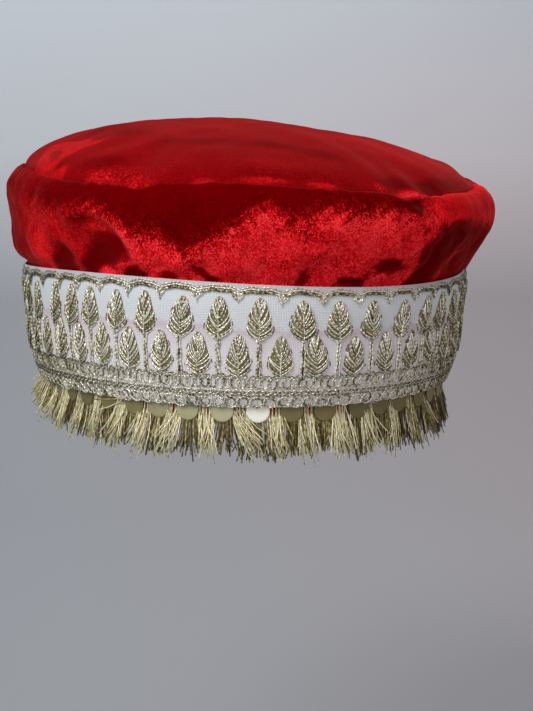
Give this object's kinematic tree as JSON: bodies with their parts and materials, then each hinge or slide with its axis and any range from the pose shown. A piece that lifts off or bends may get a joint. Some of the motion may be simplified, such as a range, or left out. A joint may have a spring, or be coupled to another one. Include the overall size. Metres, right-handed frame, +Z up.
{
  "type": "embroidered velvet cap",
  "caption": "Soft oval velvet cap with a domed tip, a puffed side, a stiff embroidered ribbon round the brow, and a row of small sewn coins over a short thread fringe.",
  "frame": {"origin": "middle of the head opening, in the plane of the hem", "axes": "+Z up out of the crown, front of the cap towards -Y, +X towards the wearer's left"},
  "size_m": [0.199, 0.2384, 0.1231],
  "materials": {
    "velvet": "crushed pile velvet, crimson",
    "ribbon": "woven ivory ribbon with pale gold thread embroidery",
    "fringe_thread": "pale gold metallised thread",
    "coin_metal": "satin pale brass, lightly tarnished"
  },
  "bodies": {
    "root": {"crown_tip": "velvet", "crown_side": "velvet", "trim_ribbon": "ribbon", "fringe": "fringe_thread", "coin_01": "coin_metal", "coin_02": "coin_metal", "coin_03": "coin_metal", "coin_04": "coin_metal", "coin_05": "coin_metal", "coin_06": "coin_metal", "coin_07": "coin_metal", "coin_08": "coin_metal", "coin_09": "coin_metal", "coin_10": "coin_metal", "coin_11": "coin_metal", "coin_12": "coin_metal", "coin_13": "coin_metal", "coin_14": "coin_metal", "coin_15": "coin_metal", "coin_16": "coin_metal", "coin_17": "coin_metal", "coin_18": "coin_metal", "coin_19": "coin_metal", "coin_20": "coin_metal", "coin_21": "coin_metal", "coin_22": "coin_metal", "coin_23": "coin_metal", "coin_24": "coin_metal", "coin_25": "coin_metal", "coin_26": "coin_metal", "coin_27": "coin_metal", "coin_28": "coin_metal", "coin_29": "coin_metal", "coin_30": "coin_metal", "coin_31": "coin_metal", "coin_32": "coin_metal", "coin_33": "coin_metal", "coin_34": "coin_metal", "coin_35": "coin_metal", "coin_36": "coin_metal", "coin_37": "coin_metal", "coin_38": "coin_metal", "coin_39": "coin_metal", "coin_40": "coin_metal", "coin_41": "coin_metal", "coin_42": "coin_metal", "coin_43": "coin_metal", "coin_44": "coin_metal", "coin_45": "coin_metal"}
  },
  "joints": []
}
